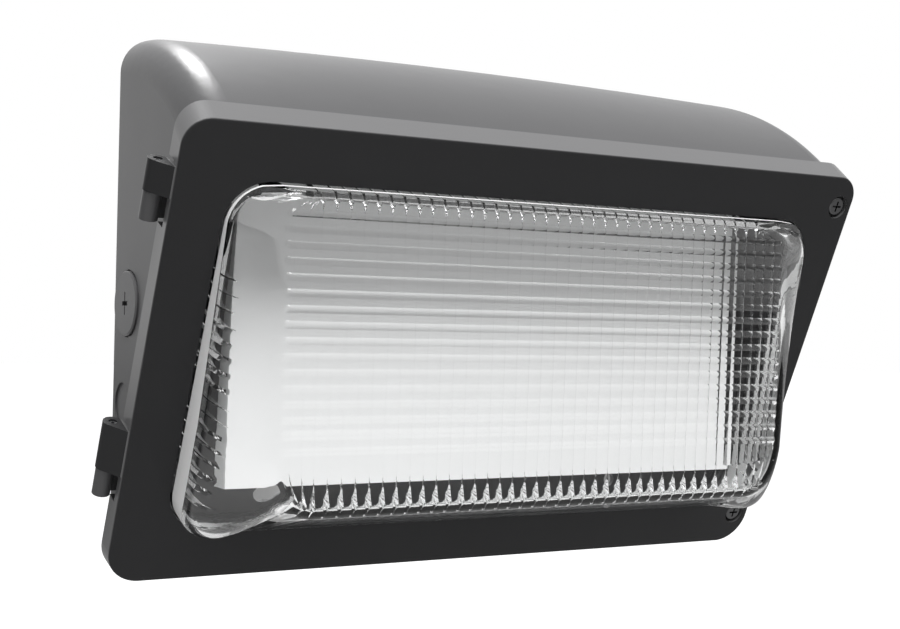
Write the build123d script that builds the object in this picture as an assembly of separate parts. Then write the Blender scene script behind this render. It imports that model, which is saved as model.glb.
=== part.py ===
from build123d import *
from math import acos, atan2, cos, hypot, radians, sin, sqrt, tan
import os

# Wall pack light, in millimetres with +Z up. The wall is the plane y = 0 and the light hangs on its -Y side.
# The origin is the centre of the rear cable entry, and +X is to the right of someone who faces the light.
# Door pieces are drawn in the door's own frame: x across, y up its slope, z out of its front face, and z = 0
# is that face. place_on_door moves them to the light's frame.

# Overall
door_width = 361.0
door_slant = 212.0  # height of the door's face, measured along its slope
door_tilt = 24.0  # lean of the door's face from upright, in degrees, top edge outward
depth = 103.0  # wall to the top front edge of the door
door_top_z = 73.0  # height of that edge above the rear cable entry
roof_back_z = 119.6  # height of the housing's roof at the wall, at its two sides
roof_crown = 3.4  # extra height of the roof at the wall, at its middle
roof_bulge = 8.0  # rise of the roof's curve above the straight line from wall to rim
housing_rear_margin = 8.0  # housing's sides at the wall inside the door's edges
housing_front_margin = 5.0  # the same at its rim
housing_bottom_inset = 3.0  # housing's underside above the lower back edge of the door
roof_step = 0.3  # housing's roof below the upper back edge of the door
roof_edge_radius = 16.0
bottom_edge_radius = 14.0
wall = 3.0
sink = 1.0  # how far a boss or arm runs into the wall it stands on, and a cut past the face it opens through

# Door frame
door_depth = 12.0
door_plate = 3.0  # thickness of the door's front
door_top_radius = 12.0
door_bottom_radius = 16.0
door_edge_round = 0.9
door_flare_top = 3.8  # how far the door's back edge stands out past its front edge
door_flare_bottom = 1.9
door_taper_side = 0.6  # how far the back edge stands in at each side
parting_gap = 0.5
opening_side = 22.9  # margins from the door's edges to the lens opening
opening_top = 24.0
opening_bottom = 25.0
opening_radius = 19.5
rim_offset = 5.5  # from the opening to the inner edge of the door's rim
lens_seal_offset = 0.4  # from the opening to the inner edge of the lens seal

# Door seal, in a groove round the housing's flange
flange_thickness = 4.0
seal_offset = 13.0  # from the opening's edge to the seal's middle
seal_width = 3.0
seal_groove_depth = 2.0
seal_side_gap = 0.1

# Lens bowl
lens_wall = 3.0
lens_gap = 1.0  # between the lens and the opening's edge
lens_flange = 5.0  # flange past the opening's edge
lens_flange_thickness = 3.5
lens_seal_thickness = 1.5
lens_front_inset = 17.6  # from the opening's edge to the front's edge, at each side of its top
lens_front_narrowing = 3.5  # at each side, from top to bottom
lens_front_drop = 25.0  # from the door's top front edge down to the top of the lens front
lens_front_height = 134.3
lens_front_back = 7.0  # from that edge back to the lens front, at half its height
lens_front_tilt = 1.8
lens_front_radius = 17.0
lens_edge_round = 2.6

# Lens clips, in pockets of the door's rim
clip_count_long = 2
clip_spacing_long = 160.0
clip_width = 14.0
clip_thickness = 1.2
clip_reach = 3.0  # how far a clip lies over the lens flange
clip_pocket_reach = 5.3
clip_side_gap = 0.3
clip_screw_offset = 8.3  # from the opening's edge
clip_screw_radius = 1.4
clip_head_radius = 2.4
clip_head_height = 1.9
clip_screw_length = 4.0

# Hinges: a knuckle on the door sits on a barrel of the housing, with a hollow spring pin through both
hinge_axis_out = 4.0  # outside the door's left edge
hinge_axis_depth = 11.0  # behind the door's face
upper_knuckle_top = 21.3  # from the door's top edge, down its slope
upper_knuckle_length = 13.3
upper_barrel_length = 12.0
lower_knuckle_top = 138.3
lower_knuckle_length = 21.7
lower_barrel_length = 12.5
knuckle_radius = 4.3
knuckle_root = 5.0  # depth of the web that joins the knuckle to the door
barrel_radius = 3.9
barrel_arm_drop = 11.5
hinge_end_gap = 0.3
pin_radius = 1.9
pin_bore_radius = 0.9
pin_fit_door = 0.06
pin_fit_housing = 0.03
pin_end_inset = 0.7
notch_depth = 3.4
notch_front = 5.0  # behind the door's face
notch_margin = 1.6

# Door screws
screw_side = 8.7  # from the door's right edge
screw_top = 15.7  # from the door's top edge
screw_bottom = 17.0  # from the door's bottom edge
counterbore_radius = 6.0
counterbore_depth = 4.2
screw_head_radius = 4.9
screw_head_height = 3.1
screw_head_round = 1.0
screw_radius = 2.45
screw_length = 15.0
screw_hole_gap = 0.3
screw_boss_radius = 6.4
screw_boss_length = 10.0
retainer_radius = 4.6
retainer_thickness = 1.6
retainer_fit = 0.05
recess_span = 0.56  # cross recess across the head, as a share of the head's width
recess_width = 1.0
recess_depth = 1.5
slot_width = 0.22  # width of a small screw's cross slots, as a share of its head's radius
slot_span = 1.2  # length of those slots, as a share of the same radius
slot_depth = 0.5  # their depth, as a share of the head's height
small_head_round = 0.35  # rounding of a small head's edge, as a share of its height

# Conduit plug and photocell blank, in the left side
plug_y = -19.0
plug_z = 1.0
plug_head_radius = 14.2
plug_head_height = 1.4
plug_head_chamfer = 0.6
plug_body_radius = 12.6
plug_body_length = 12.0
plug_body_gap = 0.15
plug_boss_radius = 15.8
plug_boss_length = 9.0
plug_slot_tall = 10.0
plug_slot_wide = 6.6
plug_tall_slot_width = 1.1
plug_wide_slot_width = 1.9
plug_slot_depth = 1.6
plug_seal_thickness = 1.0
plug_seal_inset = 0.4  # from the edge of the plug's head to its seal
plug_seat_sink = 0.3  # depth of the flat the seal sits on
plug_seat_margin = 0.6
blank_y = -12.6
blank_z = -43.0
blank_radius = 9.3
blank_gap = 0.15
blank_sink = 0.7
blank_thickness = 2.4
blank_floor = 1.2
blank_rim_radius = 8.2

# Rear cable entry and wall holes
entry_hole_radius = 11.0
grommet_bore_radius = 7.0
grommet_lip_radius = 13.0
grommet_lip_thickness = 1.8
grommet_gap = 0.1
wall_hole_radius = 3.25
wall_hole_spacing_x = 200.0
wall_hole_spacing_z = 172.0
box_hole_radius = 2.6
box_hole_spacing = 88.9

# Light tray, boards and diffuser
tray_half_width = 139.0
tray_bottom_z = -77.0
tray_top_z = 62.0
tray_front_y = -51.0
tray_depth = 10.0
tray_sheet = 1.2
tray_screw_gap = 0.3
tray_slot_margin = 2.0  # from the socket's sides to the slot its contacts pass through
tray_slot_height = 4.0
diffuser_thickness = 2.0
board_width = 200.0
board_height = 50.0
board_spacing = 64.0
board_thickness = 1.6
board_screw_inset = 4.0
chip_size = 3.2
chip_thickness = 0.8
chip_columns = 10
chip_rows = 3
chip_pitch_x = 19.0
chip_pitch_z = 15.0
standoff_x = 115.0
standoff_z = 45.0
standoff_across_flats = 8.0
standoff_boss_radius = 6.5
standoff_boss_height = 4.0
standoff_stud_radius = 1.95
standoff_stud_length = 4.0
tray_screw_radius = 1.45
tray_screw_length = 8.0
small_head_radius = 3.6
small_head_height = 2.4
board_screw_radius = 1.2
board_screw_length = 3.8
board_head_radius = 2.2
board_head_height = 1.5
small_fit = 0.05  # round a screw that holds two pieces of one body together

# Driver, terminals and leads
driver_width = 130.0
driver_height = 50.0
driver_thickness = 24.0
driver_x = 5.0
driver_bottom_z = 34.0
driver_round = 2.0
driver_boss_height = 6.0
screw_pad_radius = 5.0  # pads under the driver's ears and the ground screw
driver_ear = 14.0
driver_ear_height = 12.0
driver_ear_thickness = 1.5
driver_screw_z = 42.0
driver_screw_radius = 1.95
driver_screw_length = 6.0
driver_screw_gap = 0.3
terminal_x = -90.0
terminal_pitch = 10.0
terminal_poles = 3
terminal_width = 32.0
terminal_height = 16.0
terminal_thickness = 14.0
terminal_boss_height = 2.0
terminal_screw_radius = 2.3
terminal_screw_gap = 0.1
terminal_screw_sink = 2.0
terminal_screw_height = 3.0
terminal_slot_width = 0.8
terminal_slot_depth = 1.0
ground_x = -126.0
ground_z = 36.0
ground_boss_height = 4.0
ground_ring_radius = 4.4
ground_ring_thickness = 0.8
ground_barrel_radius = 1.7
ground_barrel_length = 7.0
ground_barrel_gap = 4.2
ground_tongue_start = 2.5
ground_lead_drop = 13.0
ground_lead_step = 3.0
lead_radius = 1.2
supply_lead_y = -13.0
led_lead_y = -26.0
black_lead_z = 62.0
white_lead_z = 52.0
led_socket_x = 95.0
led_socket_z = 24.5
led_socket_width = 16.0
led_socket_height = 12.0
led_socket_thickness = 7.0
led_socket_round = 1.0
led_lead_pitch = 7.0
led_lead_drop = 12.0

# Places worked out from the sizes above
half_width = door_width / 2
housing_rear_width = door_width - 2 * housing_rear_margin
housing_front_width = door_width - 2 * housing_front_margin
lens_front_half_width = half_width - opening_side - lens_front_inset
lens_front_top_z = door_top_z - lens_front_drop
lens_front_bottom_z = lens_front_top_z - lens_front_height
lens_front_y = lens_front_back - depth
half_slant = door_slant / 2
lean = radians(door_tilt)
door_frame_plane = Plane(
    origin=(0, half_slant * sin(lean) - depth, door_top_z - half_slant * cos(lean)),
    x_dir=(1, 0, 0),
    z_dir=(0, -cos(lean), -sin(lean)),
)
parting = -(door_depth + parting_gap)  # level of the housing's rim, in the door's frame
hinge_x = -(half_width + hinge_axis_out)
hinge_level = -hinge_axis_depth
screw_x = half_width - screw_side
screw_heights = (half_slant - screw_top, screw_bottom - half_slant)
tray_back_y = tray_front_y + tray_depth
side_x = -housing_rear_width / 2
past_all = 200.0  # reach of the blocks that trim the castings
clip_seat = -(door_plate + lens_seal_thickness + lens_flange_thickness)  # back of the lens flange
plug_seat_x = side_x + plug_seat_sink
board_back_y = tray_back_y - tray_sheet
board_front_y = board_back_y - board_thickness
terminal_front_y = -wall - terminal_boss_height - terminal_thickness


def place_on_door(shape):
    return door_frame_plane * shape


def door_point(across, up, out):
    return door_frame_plane.from_local_coords(Vector(across, up, out))


def rounded(half, bottom, top, bottom_radius, top_radius, narrowing=0.0):
    low = half - narrowing
    face = make_face(Polyline((-low, bottom), (low, bottom), (half, top), (-half, top), close=True))
    face = fillet(face.vertices().group_by(Axis.Y)[0], bottom_radius)
    return fillet(face.vertices().group_by(Axis.Y)[-1], top_radius)


def opening_outline(offset):
    # The lens opening's outline, moved outward by the offset.
    radius = opening_radius + offset
    half = half_width - opening_side + offset
    return rounded(half, opening_bottom - half_slant - offset, half_slant - opening_top + offset, radius, radius)


def door_slab(face, low, high):
    # A flat shape of the door's frame, filled from one level to another.
    return extrude(Pos(0, 0, low) * face, high - low)


def opening_ring(outer, inner, low, high):
    return door_slab(opening_outline(outer) - opening_outline(inner), low, high)


def rod_out(radius, low, high, across, up):
    # A rod square to the door's face, in the door's frame.
    return Pos(across, up, (low + high) / 2) * Cylinder(radius, high - low)


def rod_y(radius, back, front, x, z):
    # A rod square to the wall, from y = back to y = front.
    return Pos(x, (back + front) / 2, z) * Rot(90, 0, 0) * Cylinder(radius, abs(back - front))


def rod_x(radius, start, end, y, z):
    return Pos((start + end) / 2, y, z) * Rot(0, 90, 0) * Cylinder(radius, abs(end - start))


def around(middle, width):
    return middle - width / 2, middle + width / 2


def block(x_range, y_range, z_range):
    ranges = (x_range, y_range, z_range)
    sizes = [abs(high - low) for low, high in ranges]
    return Pos(*[(low + high) / 2 for low, high in ranges]) * Box(*sizes)


def hinge_places():
    # Each hinge's knuckle top, knuckle length and barrel length, with heights in the door's frame.
    yield half_slant - upper_knuckle_top, upper_knuckle_length, upper_barrel_length
    yield half_slant - lower_knuckle_top, lower_knuckle_length, lower_barrel_length


def tangent_point(point, radius, side):
    # Where the line from a point touches a circle round the hinge axis, on one side of it.
    along, out = point[0] - hinge_x, point[1] - hinge_level
    turn = atan2(out, along) + side * acos(radius / hypot(along, out))
    return hinge_x + radius * cos(turn), hinge_level + radius * sin(turn)


def hinge_slab(face, top, length):
    # A hinge section, drawn across the door's left edge, drawn out down the slope from its top.
    section = Plane(origin=(0, top, 0), x_dir=(1, 0, 0), z_dir=(0, -1, 0))
    return extrude(section * face, length)


def hinge_circle(radius):
    return Pos(hinge_x, hinge_level) * Circle(radius)


def polygon(*points):
    return make_face(Polyline(*points, close=True))


def cross_recess(half, width, low, high):
    arm = Box(2 * half, width, high - low) + Box(width, 2 * half, high - low)
    return Pos(0, 0, (low + high) / 2) * arm


def pan_screw(head_radius, head_height, head_round, shank_radius, length):
    # A pan-head screw along Z: its seat is at z = 0, its head above and its shank below.
    head = extrude(Circle(head_radius), head_height)
    head = fillet(head.faces().sort_by(Axis.Z)[-1].edges(), head_round)
    head -= cross_recess(recess_span * head_radius, recess_width, head_height - recess_depth, head_height)
    return head + extrude(Circle(shank_radius), -length)


def small_screw(shank_radius, length, head_radius=small_head_radius, head_height=small_head_height):
    head = extrude(Circle(head_radius), head_height)
    head = fillet(head.faces().sort_by(Axis.Z)[-1].edges(), small_head_round * head_height)
    depth = 2 * slot_depth * head_height
    slot = Pos(0, 0, head_height) * Box(slot_span * head_radius, slot_width * head_radius, depth)
    cross = slot + Rot(0, 0, 90) * slot
    return head - cross + extrude(Circle(shank_radius), -length)


def facing_front(shape):
    # Turns a shape's +Z to -Y, away from the wall.
    return Rot(90, 0, 0) * shape


# Door body


def door_outer():
    front = rounded(half_width, -half_slant, half_slant, door_bottom_radius, door_top_radius)
    back = rounded(
        half_width - door_taper_side,
        -half_slant - door_flare_bottom,
        half_slant + door_flare_top,
        door_bottom_radius,
        door_top_radius,
    )
    form = loft([Pos(0, 0, -door_depth) * back, front], ruled=True)
    return fillet(form.faces().sort_by(Axis.Z)[-1].edges(), door_edge_round)


def clip_places():
    # Each lens clip as its turn and its distance from the opening's middle to the opening's edge.
    middle = (opening_bottom - opening_top) / 2
    reach = half_width - opening_side
    rise = half_slant - (opening_top + opening_bottom) / 2
    for number in range(clip_count_long):
        along = (number - (clip_count_long - 1) / 2) * clip_spacing_long
        yield Pos(along, middle, 0), rise
        yield Pos(along, middle, 0) * Rot(0, 0, 180), rise
    yield Pos(0, middle, 0) * Rot(0, 0, 90), reach
    yield Pos(0, middle, 0) * Rot(0, 0, -90), reach


def clip_block(inner, outer, width, low, high):
    # A block at each clip: from inner to outer past the opening's edge, between two levels.
    blocks = Part()
    for place, edge in clip_places():
        blocks += place * block((-width / 2, width / 2), (edge + inner, edge + outer), (low, high))
    return blocks


def clip_rods(radius, low, high):
    rods = Part()
    for place, edge in clip_places():
        rods += place * rod_out(radius, low, high, 0, edge + clip_screw_offset)
    return rods


def knuckle_face():
    corner = (sink / 2 - half_width, -sink / 2)
    root = (sink - half_width, -knuckle_root)
    web = polygon(
        tangent_point(corner, knuckle_radius, 1),
        corner,
        root,
        tangent_point(root, knuckle_radius, -1),
        (hinge_x, hinge_level),
    )
    return hinge_circle(knuckle_radius) + web


def door_frame():
    frame = door_outer()
    pocket = opening_outline(rim_offset)
    frame -= door_slab(pocket, -door_depth - sink, -door_plate)
    frame -= door_slab(opening_outline(0), -door_plate - sink, sink)
    width = clip_width + 2 * clip_side_gap
    frame -= clip_block(rim_offset - sink, rim_offset + clip_pocket_reach, width, -door_depth - sink, clip_seat)
    frame -= clip_rods(clip_screw_radius + small_fit, clip_seat - clip_screw_length, clip_seat + clip_screw_length)
    for up in screw_heights:
        frame -= rod_out(counterbore_radius, -counterbore_depth, sink, screw_x, up)
        frame -= rod_out(screw_radius + screw_hole_gap, -door_depth - sink, 0, screw_x, up)
        floor = retainer_thickness - door_depth
        frame -= rod_out(retainer_radius + small_fit, -door_depth - sink, floor, screw_x, up)
    for top, knuckle_length, barrel_length in hinge_places():
        down = top - knuckle_length - barrel_length
        frame -= block(
            (-half_width - sink, notch_depth - half_width),
            (down - notch_margin, top + notch_margin),
            (-door_depth - sink, -notch_front),
        )
        frame += hinge_slab(knuckle_face(), top, knuckle_length)
        frame -= hinge_slab(hinge_circle(pin_radius + pin_fit_door), top + sink, knuckle_length + 2 * sink)
    return place_on_door(frame)


def lens_seal():
    ring = opening_ring(lens_flange, lens_seal_offset, -door_plate - lens_seal_thickness, -door_plate)
    return place_on_door(ring)


def lens_front(inset):
    middle = (lens_front_top_z + lens_front_bottom_z) / 2
    half = (lens_front_top_z - lens_front_bottom_z) / 2
    tilt = radians(lens_front_tilt)
    front = Plane(origin=(0, lens_front_y, middle), x_dir=(1, 0, 0), z_dir=(0, -cos(tilt), -sin(tilt)))
    radius = lens_front_radius - inset
    width = lens_front_half_width - inset
    outline = rounded(width, inset - half, half - inset, radius, radius, lens_front_narrowing)
    return front * Pos(0, 0, -inset) * outline


def lens_bowl(inset):
    # The bowl as a solid: a straight neck through the opening, then walls that draw in to the upright front.
    neck = opening_outline(-lens_gap - inset)
    bowl = loft([place_on_door(neck), lens_front(inset)], ruled=True)
    if inset == 0:
        front = bowl.faces().sort_by(Axis.Y)[0]
        bowl = fillet(front.edges(), lens_edge_round)
        return bowl + place_on_door(door_slab(neck, clip_seat, 0))
    return bowl + place_on_door(door_slab(neck, clip_seat - sink, 0))


def lens():
    flange = door_slab(opening_outline(lens_flange), clip_seat, clip_seat + lens_flange_thickness)
    return lens_bowl(0) + place_on_door(flange) - lens_bowl(lens_wall)


def lens_clips():
    inner = lens_flange - clip_reach
    outer = rim_offset + clip_pocket_reach - clip_side_gap
    clips = clip_block(inner, outer, clip_width, clip_seat - clip_thickness, clip_seat)
    holes = clip_rods(clip_screw_radius + small_fit, clip_seat - clip_thickness - sink, clip_seat + sink)
    return place_on_door(clips - holes)


def clip_screws():
    screws = Part()
    seat = clip_seat - clip_thickness
    for place, edge in clip_places():
        screw = small_screw(clip_screw_radius, clip_screw_length, clip_head_radius, clip_head_height)
        screws += place * Pos(0, edge + clip_screw_offset, seat) * Rot(180, 0, 0) * screw
    return place_on_door(screws)


def screw_retainers():
    rings = Part()
    for up in screw_heights:
        ring = rod_out(retainer_radius, -door_depth, retainer_thickness - door_depth, screw_x, up)
        rings += ring - rod_out(screw_radius + retainer_fit, -door_depth - sink, 0, screw_x, up)
    return place_on_door(rings)


def door_screw(number):
    screw = pan_screw(screw_head_radius, screw_head_height, screw_head_round, screw_radius, screw_length)
    return place_on_door(Pos(screw_x, screw_heights[number], -counterbore_depth) * screw)


# Housing body


def roof_section(x, back_z, inset):
    # Side view of the space under the roof at one x: an arc from behind the wall's plane, over the rim and past it.
    rim = door_point(0, half_slant + door_flare_top - roof_step, parting)
    run, rise = -rim.Y, back_z - rim.Z
    chord = hypot(run, rise)
    radius = (chord ** 2 / 4 + roof_bulge ** 2) / (2 * roof_bulge)
    back_off = (radius - roof_bulge) / chord
    centre_y = rim.Y / 2 + rise * back_off
    centre_z = (back_z + rim.Z) / 2 - run * back_off
    radius -= inset

    def on_arc(y):
        return y, centre_z + sqrt(radius ** 2 - (y - centre_y) ** 2)

    front = rim.Y - 2 * door_depth
    middle = front / 2
    arc = ThreePointArc(on_arc(sink), on_arc(middle), on_arc(front))
    sides = Polyline(on_arc(front), (front, -past_all), (sink, -past_all), on_arc(sink))
    return Plane(origin=(x, 0, 0), x_dir=(0, 1, 0), z_dir=(1, 0, 0)) * make_face(arc + sides)


def housing_form(inset):
    # The housing's closed form, moved inward by the inset, before its tilted rim is cut.
    edge_z = roof_back_z - roof_crown * ((door_width / housing_rear_width) ** 2 - 1)
    heights = ((-half_width, edge_z), (0, roof_back_z + roof_crown), (half_width, edge_z))
    roof = loft([roof_section(x, back_z, inset) for x, back_z in heights])
    rear = housing_rear_width / 2 - inset
    front = housing_front_width / 2 - inset
    plan = polygon((-rear, -inset), (rear, -inset), (front, -depth), (-front, -depth))
    bottom = door_point(0, -half_slant - door_flare_bottom + housing_bottom_inset, parting).Z + inset
    form = roof & extrude(Pos(0, 0, bottom) * plan, 2 * past_all)
    form = fillet([edge for edge in deep_edges(form) if edge.center().Z < 0], bottom_edge_radius - inset)
    high = [edge for edge in deep_edges(form) if edge.center().Z > roof_back_z / 2]
    return fillet(high, roof_edge_radius - inset)


def deep_edges(form):
    # The edges that run from the wall to the front.
    return [edge for edge in form.edges() if edge.bounding_box().size.Y > 0.8 * depth]


def in_front_of(level):
    # Everything in front of a level of the door's frame.
    return place_on_door(Pos(0, 0, level + past_all / 2) * Box(4 * past_all, 4 * past_all, past_all))


def housing_bosses():
    # Short pads on the rear wall, as x, z, radius and height.
    for x, z in corner_places():
        yield x, z, standoff_boss_radius, standoff_boss_height
    for x in driver_screw_places():
        yield x, driver_screw_z, screw_pad_radius, driver_boss_height
    yield ground_x, ground_z, screw_pad_radius, ground_boss_height


def driver_screw_places():
    reach = driver_width / 2 + driver_ear / 2
    return driver_x - reach, driver_x + reach


def barrel_face():
    foot = (side_x + sink, parting - barrel_arm_drop)
    arm = polygon(
        (hinge_x, hinge_level),
        tangent_point(foot, barrel_radius, -1),
        foot,
        (foot[0], parting),
        (hinge_x + 0.9 * barrel_radius, parting),
    )
    return hinge_circle(barrel_radius) + arm


def screw_bosses():
    bosses = Part()
    for up in screw_heights:
        bosses += rod_out(screw_boss_radius, parting - screw_boss_length, parting, screw_x, up)
    return place_on_door(bosses) & block((0, past_all), (-past_all, -wall / 2), (-past_all, past_all))


def housing():
    shell = housing_form(0) - in_front_of(parting)
    shell -= housing_form(wall) - in_front_of(parting - flange_thickness)
    shell -= place_on_door(door_slab(opening_outline(rim_offset), parting - flange_thickness - sink, parting + sink))
    shell += screw_bosses()
    for up in screw_heights:
        floor = parting - screw_boss_length + sink
        shell -= place_on_door(rod_out(screw_radius + screw_hole_gap, floor, parting + sink, screw_x, up))
    for top, knuckle_length, barrel_length in hinge_places():
        start = top - knuckle_length - hinge_end_gap
        shell += place_on_door(hinge_slab(barrel_face(), start, barrel_length))
        bore = hinge_circle(pin_radius + pin_fit_housing)
        shell -= place_on_door(hinge_slab(bore, start + sink, barrel_length + 2 * sink))
    groove = seal_width / 2 + seal_side_gap
    ring = opening_ring(seal_offset + groove, seal_offset - groove, parting - seal_groove_depth, parting + sink)
    shell -= place_on_door(ring)
    for x, z, radius, height in housing_bosses():
        shell += rod_y(radius, -wall / 2, -wall - height, x, z)
    pad = (-wall / 2, -wall - terminal_boss_height)
    shell += block(around(terminal_x, terminal_width), pad, around(0, terminal_height))
    shell += rod_x(plug_boss_radius, side_x + wall / 2, side_x + plug_boss_length, plug_y, plug_z)
    return shell - housing_holes()


def housing_holes():
    holes = rod_y(entry_hole_radius, sink, -wall - sink, 0, 0)
    for x in around(0, wall_hole_spacing_x):
        for z in around(0, wall_hole_spacing_z):
            holes += rod_y(wall_hole_radius, sink, -wall - sink, x, z)
    for x in around(0, box_hole_spacing):
        holes += rod_y(box_hole_radius, sink, -wall - sink, x, 0)
    for x, z in corner_places():
        holes += rod_y(standoff_stud_radius + small_fit, -wall, -wall - standoff_boss_height - sink, x, z)
    for x in driver_screw_places():
        holes += rod_y(driver_screw_radius + small_fit, -wall, -wall - driver_boss_height - sink, x, driver_screw_z)
    holes += rod_y(driver_screw_radius + small_fit, -wall, -wall - ground_boss_height - sink, ground_x, ground_z)
    outside = side_x - 2 * wall
    holes += rod_x(plug_body_radius + plug_body_gap, outside, side_x + plug_boss_length + sink, plug_y, plug_z)
    holes += rod_x(plug_head_radius + plug_seat_margin, outside, plug_seat_x, plug_y, plug_z)
    holes += rod_x(blank_radius + blank_gap, outside, side_x + wall + sink, blank_y, blank_z)
    return holes


def door_seal():
    edges = seal_offset + seal_width / 2, seal_offset - seal_width / 2
    return place_on_door(opening_ring(*edges, parting - seal_groove_depth, -door_depth))


def hinge_pin(number):
    top, knuckle_length, barrel_length = list(hinge_places())[number]
    ring = hinge_circle(pin_radius) - hinge_circle(pin_bore_radius)
    length = knuckle_length + hinge_end_gap + barrel_length - 2 * pin_end_inset
    return place_on_door(hinge_slab(ring, top - pin_end_inset, length))


def conduit_plug():
    face = plug_seat_x - plug_seal_thickness
    outer = face - plug_head_height
    head = rod_x(plug_head_radius, face, outer, plug_y, plug_z)
    head = chamfer(head.faces().sort_by(Axis.X)[0].edges(), plug_head_chamfer)
    head += rod_x(plug_body_radius, face, face + plug_body_length, plug_y, plug_z)
    reach = (outer - sink, outer + plug_slot_depth)
    head -= block(reach, around(plug_y, plug_tall_slot_width), around(plug_z, plug_slot_tall))
    return head - block(reach, around(plug_y, plug_slot_wide), around(plug_z, plug_wide_slot_width))


def plug_seal():
    face = plug_seat_x - plug_seal_thickness
    ring = rod_x(plug_head_radius - plug_seal_inset, plug_seat_x, face, plug_y, plug_z)
    return ring - rod_x(plug_body_radius + plug_body_gap, plug_seat_x + sink, face - sink, plug_y, plug_z)


def photocell_blank():
    outer = side_x + blank_sink
    disc = rod_x(blank_radius, outer, outer + blank_thickness, blank_y, blank_z)
    return disc - rod_x(blank_rim_radius, outer + blank_floor, outer + blank_thickness + sink, blank_y, blank_z)


def entry_grommet():
    neck = rod_y(entry_hole_radius - grommet_gap, 0, -wall, 0, 0)
    lip = rod_y(grommet_lip_radius, -wall, -wall - grommet_lip_thickness, 0, 0)
    return neck + lip - rod_y(grommet_bore_radius, sink, -wall - grommet_lip_thickness - sink, 0, 0)


def corner_places():
    for x in (-standoff_x, standoff_x):
        for z in (-standoff_z, standoff_z):
            yield x, z


def tray_standoffs():
    seat = -wall - standoff_boss_height
    length = seat - tray_back_y
    post = extrude(RegularPolygon(standoff_across_flats / 2, 6, major_radius=False), length)
    post -= Pos(0, 0, length - tray_screw_length / 2) * Cylinder(tray_screw_radius + small_fit, tray_screw_length)
    post += extrude(Circle(standoff_stud_radius), -standoff_stud_length)
    posts = Part()
    for x, z in corner_places():
        posts += Pos(x, seat, z) * facing_front(post)
    return posts


def light_tray():
    tray = block(
        (-tray_half_width, tray_half_width),
        (tray_back_y, tray_front_y),
        (tray_bottom_z, tray_top_z),
    )
    tray -= block(
        (tray_sheet - tray_half_width, tray_half_width - tray_sheet),
        (board_back_y, tray_front_y - sink),
        (tray_bottom_z + tray_sheet, tray_top_z - tray_sheet),
    )
    through = (tray_back_y + sink, board_back_y - sink)
    for x, z in corner_places():
        tray -= rod_y(tray_screw_radius + tray_screw_gap, *through, x, z)
    for x, z in board_screw_places():
        tray -= rod_y(board_screw_radius + small_fit, *through, x, z)
    slot = around(led_socket_x, led_socket_width - 2 * tray_slot_margin)
    return tray - block(slot, through, around(led_socket_z, tray_slot_height))


def tray_screws():
    screws = Part()
    for x, z in corner_places():
        screws += Pos(x, board_back_y, z) * facing_front(small_screw(tray_screw_radius, tray_screw_length))
    return screws


def board_middles():
    return around((tray_top_z + tray_bottom_z) / 2, board_spacing)


def board_screw_places():
    for middle in board_middles():
        for x in around(0, board_width - 2 * board_screw_inset):
            for z in around(middle, board_height - 2 * board_screw_inset):
                yield x, z


def light_board(number):
    height = around(board_middles()[number], board_height)
    board = block(around(0, board_width), (board_back_y, board_front_y), height)
    for x, z in board_screw_places():
        board -= rod_y(board_screw_radius + small_fit, board_back_y + sink, board_front_y - sink, x, z)
    return board


def board_screws():
    screws = Part()
    for x, z in board_screw_places():
        screw = small_screw(board_screw_radius, board_screw_length, board_head_radius, board_head_height)
        screws += Pos(x, board_front_y, z) * facing_front(screw)
    return screws


def light_chips():
    chips = []
    for middle in board_middles():
        for column in range(chip_columns):
            x = (column - (chip_columns - 1) / 2) * chip_pitch_x
            for row in range(chip_rows):
                z = middle + (row - (chip_rows - 1) / 2) * chip_pitch_z
                levels = (board_front_y, board_front_y - chip_thickness)
                chips.append(block(around(x, chip_size), levels, around(z, chip_size)))
    return Compound(children=chips)


def diffuser():
    return block(
        (-tray_half_width, tray_half_width),
        (tray_front_y, tray_front_y - diffuser_thickness),
        (tray_bottom_z, tray_top_z),
    )


def driver():
    back = -wall - driver_boss_height
    height = (driver_bottom_z, driver_bottom_z + driver_height)
    case = block(around(driver_x, driver_width), (back, back - driver_thickness), height)
    case = fillet(case.edges().filter_by(Axis.X), driver_round)
    ears = around(driver_x, driver_width + 2 * driver_ear)
    case += block(ears, (back, back - driver_ear_thickness), around(driver_screw_z, driver_ear_height))
    for x in driver_screw_places():
        hole = (back + sink, back - driver_ear_thickness - sink)
        case -= rod_y(driver_screw_radius + driver_screw_gap, *hole, x, driver_screw_z)
    return case


def driver_screws():
    screws = Part()
    seat = -wall - driver_boss_height - driver_ear_thickness
    for x in driver_screw_places():
        screws += Pos(x, seat, driver_screw_z) * facing_front(small_screw(driver_screw_radius, driver_screw_length))
    return screws


def pole_places():
    for number in range(terminal_poles):
        yield terminal_x + (number - (terminal_poles - 1) / 2) * terminal_pitch


def terminal_block():
    levels = (-wall - terminal_boss_height, terminal_front_y)
    body = block(around(terminal_x, terminal_width), levels, around(0, terminal_height))
    floor = terminal_front_y + terminal_screw_sink + terminal_screw_height
    for x in pole_places():
        body -= rod_y(terminal_screw_radius + terminal_screw_gap, floor, terminal_front_y - sink, x, 0)
    return body


def terminal_screws():
    screws = Part()
    top = terminal_front_y + terminal_screw_sink
    for x in pole_places():
        screw = rod_y(terminal_screw_radius, top + terminal_screw_height, top, x, 0)
        slot = (top - sink, top + terminal_slot_depth)
        screws += screw - block(around(x, 3 * terminal_screw_radius), slot, around(0, terminal_slot_width))
    return screws


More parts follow.
